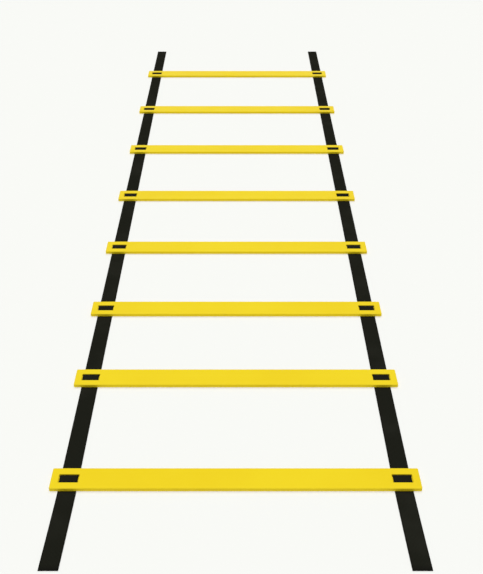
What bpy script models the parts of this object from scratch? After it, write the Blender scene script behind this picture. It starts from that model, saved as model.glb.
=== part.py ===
# Agility ladder: eight flat moulded rungs threaded on two woven straps, laid out flat on the ground.
# Metres, +Z up. X runs across the ladder and Y along it, from rung 1 to rung 8.
# The origin is on the ground, halfway along the straps and midway between them.
import math

import bmesh
import bpy

# Fits
RUNNING_GAP = 0.0003  # left between two faces that lie together on the real ladder

# Webbing of the two straps
WEBBING_WIDTH = 0.0254
WEBBING_THICKNESS = 0.0014
WEBBING_INNER_BEND = 0.0006  # tightest radius that the webbing takes in a slot
FIRST_TAIL = 0.157  # from rung 1's centre line to the cut ends
LAST_TAIL = 0.216  # from rung 8's centre line to the cut ends

# Rungs
RUNG_LENGTH = 0.500
RUNG_WIDTH = 0.040
RUNG_THICKNESS = 0.0055
RUNG_CORNER_RADIUS = 0.0020
RUNG_EDGE_ROUND = 0.0008
RUNG_SPACING = 0.237  # mean distance between neighbouring centre lines
RUNG_GAP_SHARES = (0.965, 0.845, 0.925, 0.96, 1.05, 1.085, 1.17)  # each gap, as a share of that mean

# Window at each end of a rung, which the webbing climbs through and over a low bar
END_BAR_WIDTH = 0.0103  # plastic between a window and the rung's end
WINDOW_SIDE_PLAY = 0.0010  # between the webbing's edge and the window's end, on each side
WINDOW_CORNER_RADIUS = 0.0012
SLOT_PLAY = 0.0011  # how much wider a slot is than the webbing is thick
BAR_WIDTH = 0.0110
BAR_THICKNESS = 0.0025
BAR_LIFT = 0.0011  # the bar's underside stands this far above the rung's
BAR_EDGE_ROUND = 0.0006
BAR_ROOT = 0.0030  # how far each end of the bar runs into the rung

# Fineness of curved stretches
CORNER_STEPS = 3
BEND_STEPS = 4
EDGE_STEPS = 2
SHARP_ANGLE = math.radians(35)
WELD_DISTANCE = 0.00001

# Heights and widths that follow from the values above
RUNG_UNDERSIDE = WEBBING_THICKNESS + RUNNING_GAP
BAR_TOP = RUNG_UNDERSIDE + BAR_LIFT + BAR_THICKNESS
SLOT_WIDTH = WEBBING_THICKNESS + SLOT_PLAY
WINDOW_LENGTH = WEBBING_WIDTH + 2 * WINDOW_SIDE_PLAY
WINDOW_WIDTH = BAR_WIDTH + 2 * SLOT_WIDTH
STRAP_GAUGE = RUNG_LENGTH - 2 * END_BAR_WIDTH - WINDOW_LENGTH  # between the straps' centre lines
FOLD_HEIGHT = WEBBING_THICKNESS / 2


def clear_scene():
    for old in list(bpy.data.objects):
        bpy.data.objects.remove(old, do_unlink=True)


def new_collection(name):
    collection = bpy.data.collections.new(name)
    bpy.context.scene.collection.children.link(collection)
    return collection


def plain_material(name, color, roughness):
    material = bpy.data.materials.new(name)
    material.use_nodes = True
    shader = material.node_tree.nodes["Principled BSDF"]
    shader.inputs["Base Color"].default_value = (*color, 1)
    shader.inputs["Roughness"].default_value = roughness
    shader.inputs["Metallic"].default_value = 0
    return material


def rung_places():
    """Each rung's centre line along Y, with the straps' whole length centred on the origin."""
    gaps = [share * RUNG_SPACING for share in RUNG_GAP_SHARES]
    place = FIRST_TAIL - (FIRST_TAIL + sum(gaps) + LAST_TAIL) / 2
    places = [place]
    for gap in gaps:
        place += gap
        places.append(place)
    return places


def fold_places(places):
    """The fold lines of the straps, midway between neighbouring rungs."""
    return [(here + there) / 2 for here, there in zip(places, places[1:])]


def arc(centre, radius, start, stop, steps):
    """Points along an arc, both ends included."""
    angles = [start + (stop - start) * step / steps for step in range(steps + 1)]
    return [(centre[0] + radius * math.cos(a), centre[1] + radius * math.sin(a)) for a in angles]


def rounded_rectangle(length, width, radius, centre_x=0.0):
    """A closed outline with round corners, anticlockwise."""
    x, y = length / 2 - radius, width / 2 - radius
    outline = []
    for turn, (side_x, side_y) in enumerate(((1, 1), (-1, 1), (-1, -1), (1, -1))):
        start = turn * math.pi / 2
        corner = (centre_x + side_x * x, side_y * y)
        outline += arc(corner, radius, start, start + math.pi / 2, CORNER_STEPS)
    return outline


def filled_curve(name, outlines, thickness, edge_round=0.0):
    """A flat 2D curve through closed outlines, extruded to a plate that is centred on its own plane."""
    curve = bpy.data.curves.new(name, "CURVE")
    curve.dimensions = "2D"
    curve.fill_mode = "BOTH"
    curve.extrude = thickness / 2 - edge_round
    curve.bevel_depth = edge_round
    curve.bevel_resolution = EDGE_STEPS - 1
    curve.offset = -edge_round
    for outline in outlines:
        spline = curve.splines.new("POLY")
        spline.points.add(len(outline) - 1)
        for point, (x, y) in zip(spline.points, outline):
            point.co = (x, y, 0, 1)
        spline.use_cyclic_u = True
    return curve


def evaluated_mesh(source):
    """The object's mesh with its curve or modifiers worked out and loose caps welded."""
    graph = bpy.context.evaluated_depsgraph_get()
    mesh = bpy.data.meshes.new_from_object(source.evaluated_get(graph))
    shape = bmesh.new()
    shape.from_mesh(mesh)
    bmesh.ops.remove_doubles(shape, verts=shape.verts, dist=WELD_DISTANCE)
    shape.to_mesh(mesh)
    shape.free()
    return mesh


def rung_plate(tools):
    """The flat bar of a rung with the window at its right end, about its own centre."""
    outline = rounded_rectangle(RUNG_LENGTH, RUNG_WIDTH, RUNG_CORNER_RADIUS)
    window = rounded_rectangle(WINDOW_LENGTH, WINDOW_WIDTH, WINDOW_CORNER_RADIUS, STRAP_GAUGE / 2)
    curve = filled_curve("rung_plate", [outline, window], RUNG_THICKNESS, RUNG_EDGE_ROUND)
    flat = bpy.data.objects.new("rung_plate_curve", curve)
    tools.objects.link(flat)
    plate = bpy.data.objects.new("rung_plate", evaluated_mesh(flat))
    plate.matrix_world = flat.matrix_world
    bpy.data.objects.remove(flat)
    tools.objects.link(plate)
    return plate


def window_bar(tools):
    """The low bar across that window, as a helper that is joined to the plate."""
    mesh = bpy.data.meshes.new("window_bar")
    shape = bmesh.new()
    bmesh.ops.create_cube(shape, size=1)
    size = (WINDOW_LENGTH + 2 * BAR_ROOT, BAR_WIDTH, BAR_THICKNESS)
    bmesh.ops.scale(shape, vec=size, verts=shape.verts)
    shape.to_mesh(mesh)
    shape.free()
    bar = bpy.data.objects.new("window_bar", mesh)
    middle = BAR_TOP - BAR_THICKNESS / 2 - (RUNG_UNDERSIDE + RUNG_THICKNESS / 2)
    bar.location = (STRAP_GAUGE / 2, 0, middle)
    rounding = bar.modifiers.new("round edges", "BEVEL")
    rounding.width = BAR_EDGE_ROUND
    rounding.segments = EDGE_STEPS
    bar.hide_render = True
    bar.display_type = "WIRE"
    tools.objects.link(bar)
    return bar


def rung_mesh(tools, material):
    """One rung's whole mesh, which all eight share: the right half with its bar, mirrored to the left."""
    plate = rung_plate(tools)
    join = plate.modifiers.new("window bar", "BOOLEAN")
    join.operation = "UNION"
    join.solver = "EXACT"
    join.object = window_bar(tools)
    mirror = plate.modifiers.new("left half", "MIRROR")
    mirror.use_axis = (True, False, False)
    mirror.use_bisect_axis = (True, False, False)
    mirror.merge_threshold = WELD_DISTANCE
    mesh = evaluated_mesh(plate)
    bpy.data.objects.remove(plate)
    mesh.name = "rung"
    mesh.materials.clear()
    mesh.materials.append(material)
    mesh.shade_smooth()
    mesh.set_sharp_from_angle(angle=SHARP_ANGLE)
    return mesh


def climb_angle():
    """Slope of the webbing in a slot, where it passes between the edge bar and the low bar with the gap on both."""
    rise = BAR_TOP - RUNG_UNDERSIDE
    reach = math.hypot(SLOT_WIDTH, rise)
    return math.atan2(rise, SLOT_WIDTH) + math.asin((WEBBING_THICKNESS + 2 * RUNNING_GAP) / reach)


def webbing_outline(back, ahead):
    """Side view of one length of webbing, along Y and up, about its rung's centre line.

    It lies flat on the ground, climbs through one slot, crosses the low bar and comes down through the other.
    """
    climb = climb_angle()
    low = WEBBING_THICKNESS / 2
    high = BAR_TOP + RUNNING_GAP + WEBBING_THICKNESS / 2
    radius = WEBBING_INNER_BEND + WEBBING_THICKNESS / 2
    half_run = (high - low) / 2 / math.tan(climb) + radius * math.tan(climb / 2)
    slot_middle = BAR_WIDTH / 2 + SLOT_WIDTH / 2
    foot = (slot_middle + half_run, low + radius)
    crown = (slot_middle - half_run, high - radius)
    down, up = -math.pi / 2, math.pi / 2
    half_thickness = WEBBING_THICKNESS / 2
    outline = []
    for face in (1, -1):  # the upper face, then the lower one
        ahead_side = arc(foot, radius - face * half_thickness, down, down - climb, BEND_STEPS)
        ahead_side += arc(crown, radius + face * half_thickness, up - climb, up, BEND_STEPS)
        ahead_side = [(ahead, low + face * half_thickness), *ahead_side]
        back_side = [(-y, z) for y, z in ahead_side[1:]]
        back_side = [(-back, low + face * half_thickness), *back_side]
        outline += (back_side + ahead_side[::-1])[::face]
    return outline


def empty_on_axis(parts, name, place, parent):
    """An empty at a world place, which carries the pieces that move together."""
    empty = bpy.data.objects.new(name, None)
    empty["place"] = place
    empty.parent = parent
    origin = parent["place"] if parent else (0, 0, 0)
    empty.location = [here - there for here, there in zip(place, origin)]
    parts.objects.link(empty)
    return empty


def add_part(parts, name, data, place, parent, rotation=(0, 0, 0)):
    """A named piece at a world place, carried by its section's empty."""
    part = bpy.data.objects.new(name, data)
    part.parent = parent
    part.location = [here - there for here, there in zip(place, parent["place"])]
    part.rotation_euler = rotation
    parts.objects.link(part)
    return part


def build_ladder():
    clear_scene()
    parts = new_collection("agility_ladder")
    tools = new_collection("agility_ladder_helpers")
    yellow = plain_material("rung_plastic", (0.88, 0.70, 0.045), 0.45)
    black = plain_material("webbing", (0.017, 0.015, 0.011), 0.85)

    places = rung_places()
    folds = fold_places(places)
    starts = [places[0] - FIRST_TAIL, *[fold + RUNNING_GAP / 2 for fold in folds]]
    ends = [*[fold - RUNNING_GAP / 2 for fold in folds], places[-1] + LAST_TAIL]
    rung_data = rung_mesh(tools, yellow)
    rung_height = RUNG_UNDERSIDE + RUNG_THICKNESS / 2
    along_y = (math.pi / 2, 0, math.pi / 2)  # turns a side view drawn in XY into the YZ plane

    carrier = None
    for index, place in enumerate(places):
        number = index + 1
        axis = (0, folds[index - 1], FOLD_HEIGHT) if index else (0, 0, 0)
        carrier = empty_on_axis(parts, f"section_{number}", axis, carrier)
        outline = webbing_outline(place - starts[index], ends[index] - place)
        webbing = filled_curve(f"webbing_{number}", [outline], WEBBING_WIDTH)
        webbing.materials.append(black)
        for side, hand in ((-1, "left"), (1, "right")):
            where = (side * STRAP_GAUGE / 2, place, 0)
            add_part(parts, f"{hand}_strap_{number}", webbing, where, carrier, along_y)
        add_part(parts, f"rung_{number}", rung_data, (0, place, rung_height), carrier)


build_ladder()
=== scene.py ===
# Agility ladder laid out flat: eight yellow moulded rungs threaded on two black webbing straps.
# Metres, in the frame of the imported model. Rung 1 is the nearest to the camera.
import math

import bmesh
import bpy
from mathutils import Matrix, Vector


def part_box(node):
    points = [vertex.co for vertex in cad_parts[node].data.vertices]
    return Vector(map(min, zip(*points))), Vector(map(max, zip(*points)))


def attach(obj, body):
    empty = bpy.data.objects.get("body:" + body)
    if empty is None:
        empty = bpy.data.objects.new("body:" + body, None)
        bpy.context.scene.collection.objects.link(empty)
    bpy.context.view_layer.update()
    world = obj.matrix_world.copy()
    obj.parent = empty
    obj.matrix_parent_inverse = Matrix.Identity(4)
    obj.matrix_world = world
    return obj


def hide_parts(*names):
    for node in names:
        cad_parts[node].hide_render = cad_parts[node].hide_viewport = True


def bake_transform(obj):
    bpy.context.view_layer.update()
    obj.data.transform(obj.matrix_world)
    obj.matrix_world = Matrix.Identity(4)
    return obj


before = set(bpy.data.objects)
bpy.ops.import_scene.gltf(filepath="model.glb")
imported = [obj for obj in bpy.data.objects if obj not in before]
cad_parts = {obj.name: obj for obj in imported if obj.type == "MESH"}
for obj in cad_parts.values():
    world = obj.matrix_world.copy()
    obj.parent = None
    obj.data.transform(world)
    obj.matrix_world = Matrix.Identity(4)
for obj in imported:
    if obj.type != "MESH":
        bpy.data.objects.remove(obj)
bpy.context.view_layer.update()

sides = ("left", "right")
rungCount = len([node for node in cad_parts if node.startswith("rung_")])


def boxMiddle(node):
    low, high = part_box(node)
    return (low + high) / 2


rungPlaces = [boxMiddle(f"rung_{number}").y for number in range(1, rungCount + 1)]
foldPlaces = [(here + there) / 2 for here, there in zip(rungPlaces, rungPlaces[1:])]


# Small helpers for objects
def linked(name, data):
    thing = bpy.data.objects.new(name, data)
    bpy.context.scene.collection.objects.link(thing)
    return thing


def meshFrom(shape, name):
    mesh = bpy.data.meshes.new(name)
    shape.to_mesh(mesh)
    shape.free()
    return mesh


def storeRestPlace(mesh):
    # where each point lies with the ladder laid out, so that the finish stays on the piece when it moves
    place = mesh.attributes.new("restPlace", "FLOAT_VECTOR", "POINT")
    place.data.foreach_set("vector", [part for vertex in mesh.vertices for part in vertex.co])


# Camera, level across the ladder and looking along it from above
cameraView = {
    "lens": 60.49,
    "tilt": 31.316,  # degrees below the horizon
    "height": 0.9069,
    "beforeRung": 0.981,  # how far it stands before rung 1
    "aside": 0.0037,
    "shift": 0.0055,
    "nearClip": 0.01,
}


def makeCamera():
    camera = linked("camera", bpy.data.cameras.new("camera"))
    camera.data.lens = cameraView["lens"]
    camera.data.shift_x = cameraView["shift"]
    camera.data.clip_start = cameraView["nearClip"]
    camera.location = (cameraView["aside"], rungPlaces[0] - cameraView["beforeRung"], cameraView["height"])
    camera.rotation_euler = (math.radians(90 - cameraView["tilt"]), 0, 0)
    bpy.context.scene.camera = camera
    bpy.context.scene.view_settings.view_transform = "Standard"
    print("camera set")


# Small helpers for materials
def put(tree, value, socket):
    if isinstance(value, bpy.types.NodeSocket):
        tree.links.new(value, socket)
    else:
        socket.default_value = value


def addNode(tree, kind, values=None, **settings):
    node = tree.nodes.new("ShaderNode" + kind)
    for name, value in settings.items():
        setattr(node, name, value)
    for name, value in (values or {}).items():
        put(tree, value, node.inputs[name])
    return node


def calc(tree, operation, *values):
    node = addNode(tree, "Math", operation=operation)
    for value, socket in zip(values, node.inputs):
        put(tree, value, socket)
    return node.outputs[0]


def mixColours(tree, share, first, second):
    node = addNode(tree, "Mix", data_type="RGBA")
    for value, socket in zip((share, first, second), (node.inputs[0], node.inputs[6], node.inputs[7])):
        put(tree, value, socket)
    return node.outputs[2]


def mixShaders(tree, share, first, second):
    values = {0: share, 1: first.outputs[0], 2: second.outputs[0]}
    return addNode(tree, "MixShader", values).outputs[0]


def ramp(tree, value, band):
    # 0 below the band, 1 above it, and a smooth rise between
    values = {"Value": value, "From Min": band[0], "From Max": band[1]}
    return addNode(tree, "MapRange", values, interpolation_type="SMOOTHSTEP").outputs["Result"]


def between(tree, share, limits):
    low, high = limits
    return calc(tree, "MULTIPLY_ADD", share, high - low, low)


def noiseIn(tree, place, size, detail, roughness):
    scale = calc(tree, "DIVIDE", 1.0, size)
    values = {"Vector": place, "Scale": scale, "Detail": detail, "Roughness": roughness}
    return addNode(tree, "TexNoise", values).outputs["Fac"]


def bumped(tree, height, strength):
    return addNode(tree, "Bump", {"Height": height, "Distance": 1.0, "Strength": strength}).outputs[0]


def restPlace(tree):
    return addNode(tree, "Attribute", attribute_name="restPlace").outputs["Vector"]


def newGroup(name, inputs, outputs):
    group = bpy.data.node_groups.new(name, "ShaderNodeTree")
    for label, kind in inputs.items():
        group.interface.new_socket(name=label, in_out="INPUT", socket_type="NodeSocket" + kind)
    for label in outputs:
        group.interface.new_socket(name=label, in_out="OUTPUT", socket_type="NodeSocketFloat")
    return group, group.nodes.new("NodeGroupInput").outputs, group.nodes.new("NodeGroupOutput").inputs


def placeGroup(tree, group, values):
    return addNode(tree, "Group", values, node_tree=group).outputs


def newMaterial(name):
    material = bpy.data.materials.new(name)
    material.use_nodes = True
    tree = material.node_tree
    return material, tree, tree.nodes["Principled BSDF"].inputs


# Tone of every surface
toneNoise = {"driftDetail": 3.0, "grainDetail": 2.0, "roughness": 0.55}


def toneDriftGroup():
    # broad, soft differences in shade over a surface, and a finer grain
    inputs = {"Place": "Vector", "Drift Size": "Float", "Grain Size": "Float"}
    group, given, out = newGroup("toneDrift", inputs, ["Drift", "Grain"])
    for label, detail in (("Drift", toneNoise["driftDetail"]), ("Grain", toneNoise["grainDetail"])):
        noise = noiseIn(group, given["Place"], given[f"{label} Size"], detail, toneNoise["roughness"])
        group.links.new(noise, out[label])
    return group


# Marks of handling
handlingMarks = {
    "scratchTurns": (0.35, -0.9),  # the two ways that scratches run, in radians
    "scratchSlimness": 40.0,
    "scratchNoise": (1.0, 0.4),  # detail and roughness
    "scratchBand": (0.66, 0.74),  # how high the noise is where a scratch begins, and where it is full
    "smudgeNoise": (4.0, 0.6),
    "smudgeBand": (0.45, 0.75),
}


def handlingGroup():
    # short fine scratches in two directions, and smudges, as on a thing that is often picked up
    inputs = {"Place": "Vector", "Scratch Length": "Float", "Smudge Size": "Float"}
    group, given, out = newGroup("handlingMarks", inputs, ["Scratches", "Smudges"])
    slim = (1.0, handlingMarks["scratchSlimness"], 1.0)
    lines = []
    for turn in handlingMarks["scratchTurns"]:
        values = {"Vector": given["Place"], "Angle": turn}
        spun = addNode(group, "VectorRotate", values, rotation_type="Z_AXIS")
        drawn = addNode(group, "VectorMath", {0: spun.outputs[0], 1: slim}, operation="MULTIPLY")
        noise = noiseIn(group, drawn.outputs[0], given["Scratch Length"], *handlingMarks["scratchNoise"])
        lines.append(ramp(group, noise, handlingMarks["scratchBand"]))
    group.links.new(calc(group, "MAXIMUM", *lines), out["Scratches"])
    noise = noiseIn(group, given["Place"], given["Smudge Size"], *handlingMarks["smudgeNoise"])
    group.links.new(ramp(group, noise, handlingMarks["smudgeBand"]), out["Smudges"])
    return group


# Rungs
rungs = {
    "cornerRound": 0.0020,
    "cornerSteps": 6,
    "edgeRound": 0.0008,
    "edgeSteps": 4,
    "windowLength": 0.0274,
    "windowWidth": 0.0160,
    "windowCornerRound": 0.0012,
    "barWidth": 0.0110,
    "barThickness": 0.0025,
    "barLift": 0.0011,  # of its underside over the rung's
    "barRound": 0.0006,
    "barRoot": 0.0030,  # how far each end of the bar runs into the rung
    "weld": 0.00001,
    "shadingWeight": 100,
    "wearBegins": 0.97,  # an edge wears where the largest part of its normal is under this
    "wearSpan": 0.25,  # and it is fully worn where that part is lower by this
    "finish": {
        "colour": (0.905, 0.692, 0.010, 1),
        "deepColour": (0.88, 0.650, 0.007, 1),
        "wornColour": (0.93, 0.745, 0.045, 1),
        "roughness": (0.42, 0.55),
        "specular": 0.1,
        "driftSize": 0.16,
        "driftBand": (0.3, 0.7),  # from the plain colour to the deep one
        "grainSize": 0.0006,
        "grainHeight": 0.0001,
        "grainTint": 0.2,
        "edgeBand": (0.3, 0.8),  # the grain from an unworn edge to a worn one
        "edgeTint": 0.35,
        "scratchLength": 0.035,
        "scratchDepth": 0.00002,
        "scratchTint": 0.14,
        "smudgeSize": 0.05,
        "smudgeShare": 0.6,  # of the changes in gloss, where the rest follows the grain
        "bumpStrength": 0.8,
    },
}


def rungPlasticMaterial(toneDrift, handling):
    material, tree, shader = newMaterial("yellowMouldedPlastic")
    finish = rungs["finish"]
    place = restPlace(tree)
    sizes = {"Drift Size": finish["driftSize"], "Grain Size": finish["grainSize"]}
    tone = placeGroup(tree, toneDrift, {"Place": place, **sizes})
    sizes = {"Scratch Length": finish["scratchLength"], "Smudge Size": finish["smudgeSize"]}
    marks = placeGroup(tree, handling, {"Place": place, **sizes})
    edge = addNode(tree, "Attribute", attribute_name="edgeShare").outputs["Fac"]
    worn = calc(tree, "MULTIPLY", edge, ramp(tree, tone["Grain"], finish["edgeBand"]))

    drift = ramp(tree, tone["Drift"], finish["driftBand"])
    colour = mixColours(tree, drift, finish["colour"], finish["deepColour"])
    tints = ((tone["Grain"], "grainTint"), (worn, "edgeTint"), (marks["Scratches"], "scratchTint"))
    for mask, tint in tints:
        colour = mixColours(tree, calc(tree, "MULTIPLY", mask, finish[tint]), colour, finish["wornColour"])
    put(tree, colour, shader["Base Color"])

    grainShare = calc(tree, "MULTIPLY", tone["Grain"], 1 - finish["smudgeShare"])
    gloss = calc(tree, "MULTIPLY_ADD", marks["Smudges"], finish["smudgeShare"], grainShare)
    put(tree, between(tree, gloss, finish["roughness"]), shader["Roughness"])
    height = calc(tree, "MULTIPLY", tone["Grain"], finish["grainHeight"])
    height = calc(tree, "MULTIPLY_ADD", marks["Scratches"], -finish["scratchDepth"], height)
    put(tree, bumped(tree, height, finish["bumpStrength"]), shader["Normal"])
    shader["Specular IOR Level"].default_value = finish["specular"]
    return material


def roundedRectangle(length, width, radius, middle=0.0):
    steps = rungs["cornerSteps"]
    outline = []
    for turn, (sideX, sideY) in enumerate(((1, 1), (-1, 1), (-1, -1), (1, -1))):
        for step in range(steps + 1):
            angle = (turn + step / steps) * math.pi / 2
            x = middle + sideX * (length / 2 - radius) + radius * math.cos(angle)
            y = sideY * (width / 2 - radius) + radius * math.sin(angle)
            outline.append((x, y))
    return outline


def finishedMesh(thing):
    # the mesh of a curve, or of an object with modifiers, with its loose seams welded
    graph = bpy.context.evaluated_depsgraph_get()
    mesh = bpy.data.meshes.new_from_object(thing.evaluated_get(graph))
    shape = bmesh.new()
    shape.from_mesh(mesh)
    bmesh.ops.remove_doubles(shape, verts=shape.verts, dist=rungs["weld"])
    shape.to_mesh(mesh)
    shape.free()
    return mesh


def rungPlate(size, gauge):
    # flat bar with the window at its right end, its edges rounded by the curve's bevel
    curve = bpy.data.curves.new("plateOutline", "CURVE")
    curve.dimensions = "2D"
    curve.fill_mode = "BOTH"
    curve.extrude = size.z / 2 - rungs["edgeRound"]
    curve.bevel_depth = rungs["edgeRound"]
    curve.bevel_resolution = rungs["edgeSteps"] - 1
    curve.offset = -rungs["edgeRound"]
    edge = roundedRectangle(size.x, size.y, rungs["cornerRound"])
    window = (rungs["windowLength"], rungs["windowWidth"], rungs["windowCornerRound"])
    for outline in (edge, roundedRectangle(*window, middle=gauge / 2)):
        spline = curve.splines.new("POLY")
        spline.points.add(len(outline) - 1)
        for point, (x, y) in zip(spline.points, outline):
            point.co = (x, y, 0, 1)
        spline.use_cyclic_u = True
    outlineObject = linked("plateOutline", curve)
    plate = linked("plate", finishedMesh(outlineObject))
    bpy.data.objects.remove(outlineObject)
    return plate


def lowBar(size, gauge):
    # bar across the window, which the webbing passes over
    shape = bmesh.new()
    bmesh.ops.create_cube(shape, size=1)
    length = rungs["windowLength"] + 2 * rungs["barRoot"]
    bmesh.ops.scale(shape, vec=(length, rungs["barWidth"], rungs["barThickness"]), verts=shape.verts)
    bar = linked("lowBar", meshFrom(shape, "lowBar"))
    bar.location = (gauge / 2, 0, rungs["barLift"] + rungs["barThickness"] / 2 - size.z / 2)
    rounding = bar.modifiers.new("round edges", "BEVEL")
    rounding.width = rungs["barRound"]
    rounding.segments = rungs["edgeSteps"]
    return bar


def rungMesh(size, gauge):
    plate = rungPlate(size, gauge)
    bar = lowBar(size, gauge)
    join = plate.modifiers.new("low bar", "BOOLEAN")
    join.operation = "UNION"
    join.solver = "EXACT"
    join.object = bar
    mirror = plate.modifiers.new("left half", "MIRROR")
    mirror.use_axis = (True, False, False)
    mirror.use_bisect_axis = (True, False, False)
    mirror.merge_threshold = rungs["weld"]
    mesh = finishedMesh(plate)
    bpy.data.objects.remove(plate)
    bpy.data.objects.remove(bar)
    return mesh


def markEdges(mesh):
    # edgeShare is 1 in the middle of a rounded edge and 0 on the flats
    share = mesh.attributes.new("edgeShare", "FLOAT", "POINT")
    for vertex in mesh.vertices:
        flat = max(abs(part) for part in vertex.normal)
        turned = (rungs["wearBegins"] - flat) / rungs["wearSpan"]
        share.data[vertex.index].value = min(1, max(0, turned))


def makeRungs(material):
    low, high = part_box("rung_1")
    gauge = boxMiddle("right_strap_1").x - boxMiddle("left_strap_1").x
    shared = rungMesh(high - low, gauge)
    markEdges(shared)
    shared.materials.clear()
    shared.materials.append(material)
    shared.shade_smooth()
    for number in range(1, rungCount + 1):
        mesh = shared.copy()
        middle = boxMiddle(f"rung_{number}")
        for vertex in mesh.vertices:
            vertex.co += middle
        storeRestPlace(mesh)
        rung = linked(f"yellow_rung_{number}", mesh)
        smooth = rung.modifiers.new("even shading", "WEIGHTED_NORMAL")
        smooth.weight = rungs["shadingWeight"]
        smooth.keep_sharp = True
        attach(rung, f"rung_{number}")
        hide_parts(f"rung_{number}")
    bpy.data.meshes.remove(shared)
    print("rungs made:", rungCount)


# Webbing
webbing = {
    "width": 0.0254,
    "thickness": 0.0014,
    "ribs": 15,  # across its flat
    "ribDepth": 0.00008,
    "selvedgeSteps": 6,
    "slotWidth": 0.0025,  # in a rung, to each side of the low bar
    "clearance": 0.0003,
    "bendRadius": 0.0013,  # of its middle, where it bends round the bars
    "bendSteps": 8,
    "rungReach": 0.011,  # from a rung's middle, the stretch that goes with the rung
    "foldReach": 0.010,  # from a fold line, the stretch that bends
    "foldSteps": 24,
    "runSteps": 16,
    "sealedLength": 0.0018,  # of the heat-sealed end
    "sealedFade": 1.5,  # how many such lengths from the cut its last trace lies
    # how far back from the cut, and how far the webbing is drawn in there
    "endRounding": ((0.0, 0.00050), (0.00012, 0.00028), (0.00035, 0.00010), (0.0008, 0.00002)),
    "nearSplay": 0.0026,  # how far the near ends lie outward of their windows
    "splayCurve": 1.3,
    "sharpAngle": 50,
    "weave": {
        "stitchLength": 0.0026,
        "lean": 0.9,  # how far a stitch slants over its rib, in stitch lengths
        "stitchFullness": 0.6,  # the lower, the fuller
        "ribFullness": 0.7,
        "filaments": 4.0,  # that show in a stitch
        "filamentDepth": 0.11,
        "selvedgeBand": (0.0008, 0.0024),  # how far from the edge the selvedge fades into the weave
    },
    "finish": {
        "yarn": (0.0222, 0.0232, 0.0163, 1),
        "fadedYarn": (0.033, 0.0336, 0.025, 1),
        # painted shade: the dark tone laid in the hollows between stitches and ribs
        "paintedCreaseShade": (0.0055, 0.0056, 0.0041, 1),
        "selvedge": (0.0092, 0.0094, 0.0067, 1),
        "selvedgeTint": 0.7,
        "roughness": (0.78, 0.92),
        "specular": 0.002,
        "driftSize": 0.09,
        "fadeBand": (0.45, 0.75),  # the drift from the plain yarn to the faded one
        "grainSize": 0.0005,
        "fuzz": 0.25,  # height of the grain beside that of a stitch
        "stitchHeight": 0.00018,
        "bumpStrength": 0.7,
        "sealedEnd": (0.006, 0.0055, 0.005, 1),  # yarns run together where the webbing was cut with heat
        "sealedGloss": 0.35,
        "sealedFlatness": 0.7,
    },
}
flatWidth = webbing["width"] - webbing["thickness"]
ribWidth = flatWidth / webbing["ribs"]
lowMiddle = webbing["thickness"] / 2


def weaveGroup():
    # ribs run along the webbing, each a row of slanting stitches, half a step on from its neighbours
    weave = webbing["weave"]
    inputs = {
        "Cloth": "Vector",
        "Rib Width": "Float",
        "Face Width": "Float",
        "Stitch Length": "Float",
        "Filaments": "Float",
    }
    group, given, out = newGroup("webbingWeave", inputs, ["Stitches", "Selvedge"])
    cloth = addNode(group, "SeparateXYZ", {"Vector": given["Cloth"]}).outputs
    across = calc(group, "DIVIDE", cloth["X"], given["Rib Width"])
    rib = calc(group, "ROUND", across)
    inRib = calc(group, "SUBTRACT", across, rib)
    odd = calc(group, "MODULO", calc(group, "ABSOLUTE", rib), 2.0)
    slant = calc(group, "MULTIPLY_ADD", odd, weave["lean"], -weave["lean"] / 2)
    along = calc(group, "DIVIDE", cloth["Y"], given["Stitch Length"])
    step = calc(group, "MULTIPLY_ADD", inRib, slant, calc(group, "MULTIPLY_ADD", odd, 0.5, along))

    hump = calc(group, "ABSOLUTE", calc(group, "COSINE", calc(group, "MULTIPLY", step, math.pi)))
    hump = calc(group, "POWER", hump, weave["stitchFullness"])
    ribWave = calc(group, "COSINE", calc(group, "MULTIPLY", inRib, math.pi))
    ribWave = calc(group, "POWER", ribWave, weave["ribFullness"])
    filament = calc(group, "MULTIPLY", calc(group, "MULTIPLY", step, given["Filaments"]), 2 * math.pi)
    depth = weave["filamentDepth"]
    filament = calc(group, "MULTIPLY_ADD", calc(group, "COSINE", filament), depth, 1 - depth)
    stitch = calc(group, "MULTIPLY", calc(group, "MULTIPLY", hump, ribWave), filament)
    group.links.new(stitch, out["Stitches"])

    turns = calc(group, "DIVIDE", cloth["X"], given["Face Width"])
    fromEdge = calc(group, "ABSOLUTE", calc(group, "SUBTRACT", calc(group, "FRACT", turns), 0.5))
    fromEdge = calc(group, "MULTIPLY", fromEdge, given["Face Width"])
    woven = ramp(group, fromEdge, weave["selvedgeBand"])
    group.links.new(calc(group, "SUBTRACT", 1.0, woven), out["Selvedge"])
    return group


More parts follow.
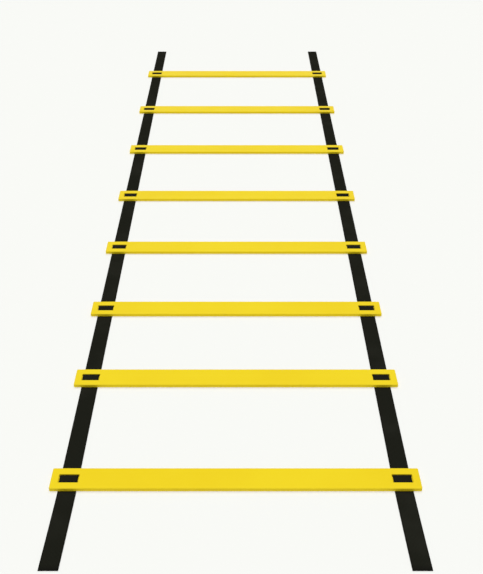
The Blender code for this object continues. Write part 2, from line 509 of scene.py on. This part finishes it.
def webbingMaterial(toneDrift, weaving):
    material, tree, shader = newMaterial("blackWovenWebbing")
    finish, weave = webbing["finish"], webbing["weave"]
    values = {
        "Cloth": addNode(tree, "UVMap", uv_map="cloth").outputs[0],
        "Rib Width": ribWidth,
        "Face Width": flatWidth + ribWidth,
        "Stitch Length": weave["stitchLength"],
        "Filaments": weave["filaments"],
    }
    woven = placeGroup(tree, weaving, values)
    sizes = {"Drift Size": finish["driftSize"], "Grain Size": finish["grainSize"]}
    tone = placeGroup(tree, toneDrift, {"Place": restPlace(tree), **sizes})
    sealed = addNode(tree, "Attribute", attribute_name="sealedShare").outputs["Fac"]

    fade = ramp(tree, tone["Drift"], finish["fadeBand"])
    yarn = mixColours(tree, fade, finish["yarn"], finish["fadedYarn"])
    # painted shade: darker from the yarn tone on the stitch tops towards the hollows between stitches and
    # ribs, where shade falls
    colour = mixColours(tree, woven["Stitches"], finish["paintedCreaseShade"], yarn)
    selvedge = calc(tree, "MULTIPLY", woven["Selvedge"], finish["selvedgeTint"])
    colour = mixColours(tree, selvedge, colour, finish["selvedge"])
    colour = mixColours(tree, sealed, colour, finish["sealedEnd"])
    put(tree, colour, shader["Base Color"])

    rough = between(tree, tone["Grain"], finish["roughness"])
    put(tree, calc(tree, "MULTIPLY_ADD", sealed, -finish["sealedGloss"], rough), shader["Roughness"])
    height = calc(tree, "MULTIPLY_ADD", tone["Grain"], finish["fuzz"], woven["Stitches"])
    relief = calc(tree, "MULTIPLY_ADD", sealed, -finish["sealedFlatness"], 1.0)
    height = calc(tree, "MULTIPLY", calc(tree, "MULTIPLY", height, relief), finish["stitchHeight"])
    put(tree, bumped(tree, height, finish["bumpStrength"]), shader["Normal"])
    shader["Specular IOR Level"].default_value = finish["specular"]
    return material


def crossSection():
    # points round the webbing as (across, up, cloth), where cloth counts on round both edges
    half, radius = flatWidth / 2, webbing["thickness"] / 2
    around = 2 * (flatWidth + ribWidth)
    points = []
    for side, begun in ((1, -half), (-1, -half + around / 2)):  # upper face with its edge, then the lower
        for step in range(2 * webbing["ribs"] + 1):
            reach = flatWidth * step / (2 * webbing["ribs"])
            sunk = webbing["ribDepth"] if step % 2 == 0 else 0
            points.append((side * (reach - half), side * (radius - sunk), begun + reach))
        for step in range(1, webbing["selvedgeSteps"]):
            share = step / webbing["selvedgeSteps"]
            angle = math.pi * (0.5 - share)
            across, up = half + radius * math.cos(angle), radius * math.sin(angle)
            points.append((side * across, side * up, begun + flatWidth + ribWidth * share))
    return points, around


def flatCourse(start, stop, steps):
    return [(start + (stop - start) * step / steps, lowMiddle, 0.0) for step in range(steps + 1)]


def overBarCourse(middle):
    # up through one slot, over the low bar and down through the other, as (along, height, slope)
    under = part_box("rung_1")[0].z
    barTop = under + rungs["barLift"] + rungs["barThickness"]
    high = barTop + webbing["clearance"] + lowMiddle
    slot, bend, steps = webbing["slotWidth"], webbing["bendRadius"], webbing["bendSteps"]
    through = webbing["thickness"] + 2 * webbing["clearance"]
    climb = math.atan2(barTop - under, slot) + math.asin(through / math.hypot(slot, barTop - under))
    halfRun = (high - lowMiddle) / 2 / math.tan(climb) + bend * math.tan(climb / 2)
    slotMiddle = (rungs["barWidth"] + slot) / 2
    rising = [(-webbing["rungReach"], lowMiddle, 0.0)]
    for step in range(steps + 1):
        turn = climb * step / steps
        along, rise = bend * math.sin(turn), bend * (1 - math.cos(turn))
        rising.append((-slotMiddle - halfRun + along, lowMiddle + rise, turn))
    for step in range(steps + 1):
        turn = climb * (1 - step / steps)
        along, rise = bend * math.sin(turn), bend * (1 - math.cos(turn))
        rising.append((-slotMiddle + halfRun - along, high - rise, turn))
    falling = [(-along, height, -slope) for along, height, slope in reversed(rising)]
    course = rising + [(0.0, high, 0.0)] + falling
    return [(middle + along, height, slope) for along, height, slope in course]


def stretches():
    # the whole course of one strap, near end to far end, cut where it passes from one body to the next
    reach, fold, steps = webbing["rungReach"], webbing["foldReach"], webbing["runSteps"]
    nearEnd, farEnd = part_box("left_strap_1")[0].y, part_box(f"left_strap_{rungCount}")[1].y
    for number, place in enumerate(rungPlaces, 1):
        section, rung = f"section_{number}", f"rung_{number}"
        begin = foldPlaces[number - 2] + fold if number > 1 else nearEnd
        finish = foldPlaces[number - 1] - fold if number < rungCount else farEnd
        yield f"before_rung_{number}", (section, rung), [number], flatCourse(begin, place - reach, steps)
        yield f"over_bar_{number}", (rung,), [number], overBarCourse(place)
        yield f"beyond_rung_{number}", (rung, section), [number], flatCourse(place + reach, finish, steps)
        if number < rungCount:
            course = flatCourse(finish, finish + 2 * fold, webbing["foldSteps"])
            yield f"fold_{number}", (section, f"section_{number + 1}"), [number, number + 1], course


def withRoundedEnd(course, end):
    # extra rings close to a cut end, each one drawn in a little
    inward = 1 if course[-1][0] > end else -1
    sealedReach = webbing["sealedLength"] * webbing["sealedFade"]
    extra = [(end + inward * back, lowMiddle, 0.0, drawnIn) for back, drawnIn in webbing["endRounding"]]
    extra.append((end + inward * webbing["sealedLength"], lowMiddle, 0.0, 0.0))
    plain = [(*point, 0.0) for point in course if abs(point[0] - end) > sealedReach]
    return sorted(extra + plain, key=lambda point: point[0])


def splayed(mesh, outward, begin, end):
    # the loose near end drifts outward from the rung to its cut
    for vertex in mesh.vertices:
        share = min(1, max(0, (vertex.co.y - begin) / (end - begin)))
        vertex.co.x += outward * webbing["nearSplay"] * share ** webbing["splayCurve"]


def sweptWebbing(name, middle, course, begun, cutAt):
    # a closed length of webbing along the course, whose cloth coordinates carry on from the length before
    section, around = crossSection()
    shape = bmesh.new()
    cloth = shape.loops.layers.uv.new("cloth")
    sealed = shape.verts.layers.float.new("sealedShare")
    rings, runs = [], [begun]
    for index, (along, height, slope, drawnIn) in enumerate(course):
        if index:
            before = course[index - 1]
            runs.append(runs[-1] + math.hypot(along - before[0], height - before[1]))
        ring = []
        sine, cosine = math.sin(slope), math.cos(slope)
        for across, up, _ in section:
            across *= 1 - drawnIn * 2 / webbing["width"]
            up *= 1 - drawnIn * 2 / webbing["thickness"]
            corner = shape.verts.new((middle + across, along - up * sine, height + up * cosine))
            if cutAt is not None:
                fromCut = abs(along - cutAt) / webbing["sealedLength"]
                corner[sealed] = min(1, max(0, webbing["sealedFade"] - fromCut))
            ring.append(corner)
        rings.append(ring)
    places = [place for _, _, place in section]
    places.append(places[0] + around)
    count = len(section)
    for index, (near, far) in enumerate(zip(rings, rings[1:])):
        for at in range(count):
            after = (at + 1) % count
            face = shape.faces.new((near[at], near[after], far[after], far[at]))
            corners = ((at, index), (at + 1, index), (at + 1, index + 1), (at, index + 1))
            for loop, (column, row) in zip(face.loops, corners):
                loop[cloth].uv = (places[column], runs[row])
    for ring, run in ((rings[0][::-1], runs[0]), (rings[-1], runs[-1])):
        face = shape.faces.new(ring)
        for loop in face.loops:
            loop[cloth].uv = (loop.vert.co.x - middle, run + loop.vert.co.z)
    bmesh.ops.recalc_face_normals(shape, faces=shape.faces)
    mesh = meshFrom(shape, name)
    mesh.shade_smooth()
    mesh.set_sharp_from_angle(angle=math.radians(webbing["sharpAngle"]))
    storeRestPlace(mesh)
    return linked(name, mesh), runs[-1]


def makeWebbing(material):
    for side in sides:
        middle = boxMiddle(f"{side}_strap_1").x
        run = 0.0
        allStretches = list(stretches())
        for index, (name, bodies, numbers, course) in enumerate(allStretches):
            cutAt = None
            if index == 0:
                cutAt = course[0][0]
            elif index == len(allStretches) - 1:
                cutAt = course[-1][0]
            if cutAt is None:
                course = [(*point, 0.0) for point in course]
            else:
                course = withRoundedEnd(course, cutAt)
            piece, run = sweptWebbing(f"{side}_webbing_{name}", middle, course, run, cutAt)
            if index == 0:
                splayed(piece.data, math.copysign(1, middle), course[-1][0], course[0][0])
            piece.data.materials.append(material)
            if len(bodies) == 1:
                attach(piece, bodies[0])
            else:
                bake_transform(piece)
            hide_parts(*[f"{side}_strap_{number}" for number in numbers])
        print(side, "strap made, length", round(run, 3), "m")


# Floor and light
studio = {
    "floorSize": 40.0,
    "floorCells": 4,
    "floorDrop": 0.0002,  # under the ladder, so that the two don't share a plane
    "paleTone": (0.950, 0.957, 0.924, 1),  # of the floor and of the room behind it
    "floorClear": 0.65,  # how much of the room shows through the floor
    "worldTone": (1, 1, 1, 1),
    "worldLevel": 0.34,
    "lamps": {
        # level, spread in degrees and turn from overhead in degrees
        "overheadLamp": (2.06, 50, 0),
        "fillFromBelow": (0.7, 15, 180),  # shows the undersides, and passes through the floor
    },
}


def seenRays(tree, rays):
    # the camera's own rays, and those that reach it by way of gloss or glass
    seen = calc(tree, "MAXIMUM", rays["Is Camera Ray"], rays["Is Glossy Ray"])
    return calc(tree, "MAXIMUM", seen, rays["Is Transmission Ray"])


def makeFloor():
    shape = bmesh.new()
    cells = studio["floorCells"]
    bmesh.ops.create_grid(shape, x_segments=cells, y_segments=cells, size=studio["floorSize"] / 2)
    material, tree, shader = newMaterial("paleFloor")
    shader["Base Color"].default_value = studio["paleTone"]
    shader["Roughness"].default_value = 1
    shader["Specular IOR Level"].default_value = 0
    # from below the floor isn't seen, and from above the pale room shows through it, so that the ladder's
    # underside and the lengths that are folded down past the floor can be seen, and its shadow stays faint
    rays = addNode(tree, "LightPath").outputs
    behind = addNode(tree, "NewGeometry").outputs["Backfacing"]
    clear = calc(tree, "MULTIPLY", seenRays(tree, rays), studio["floorClear"])
    clear = calc(tree, "MAXIMUM", calc(tree, "MAXIMUM", clear, behind), rays["Is Shadow Ray"])
    surface = mixShaders(tree, clear, tree.nodes["Principled BSDF"], addNode(tree, "BsdfTransparent"))
    tree.links.new(surface, tree.nodes["Material Output"].inputs["Surface"])
    floor = linked("pale_floor", meshFrom(shape, "paleFloor"))
    floor.data.materials.append(material)
    floor.location.z = -studio["floorDrop"]


def makeLight():
    world = bpy.data.worlds.new("softWhiteRoom")
    world.use_nodes = True
    tree = world.node_tree
    tree.nodes.clear()
    seen = seenRays(tree, addNode(tree, "LightPath").outputs)
    shining = addNode(tree, "Background", {"Color": studio["worldTone"], "Strength": studio["worldLevel"]})
    shown = addNode(tree, "Background", {"Color": studio["paleTone"], "Strength": 1.0})
    output = addNode(tree, "OutputWorld")
    tree.links.new(mixShaders(tree, seen, shining, shown), output.inputs["Surface"])
    bpy.context.scene.world = world
    for name, (level, spread, turn) in studio["lamps"].items():
        light = bpy.data.lights.new(name, "SUN")
        light.energy = level
        light.angle = math.radians(spread)
        linked(name, light).rotation_euler.x = math.radians(turn)
    print("floor and light set")


makeCamera()
makeFloor()
makeLight()
toneDrift = toneDriftGroup()
rungPlastic = rungPlasticMaterial(toneDrift, handlingGroup())
wovenYarn = webbingMaterial(toneDrift, weaveGroup())
print("materials ready")
makeRungs(rungPlastic)
makeWebbing(wovenYarn)
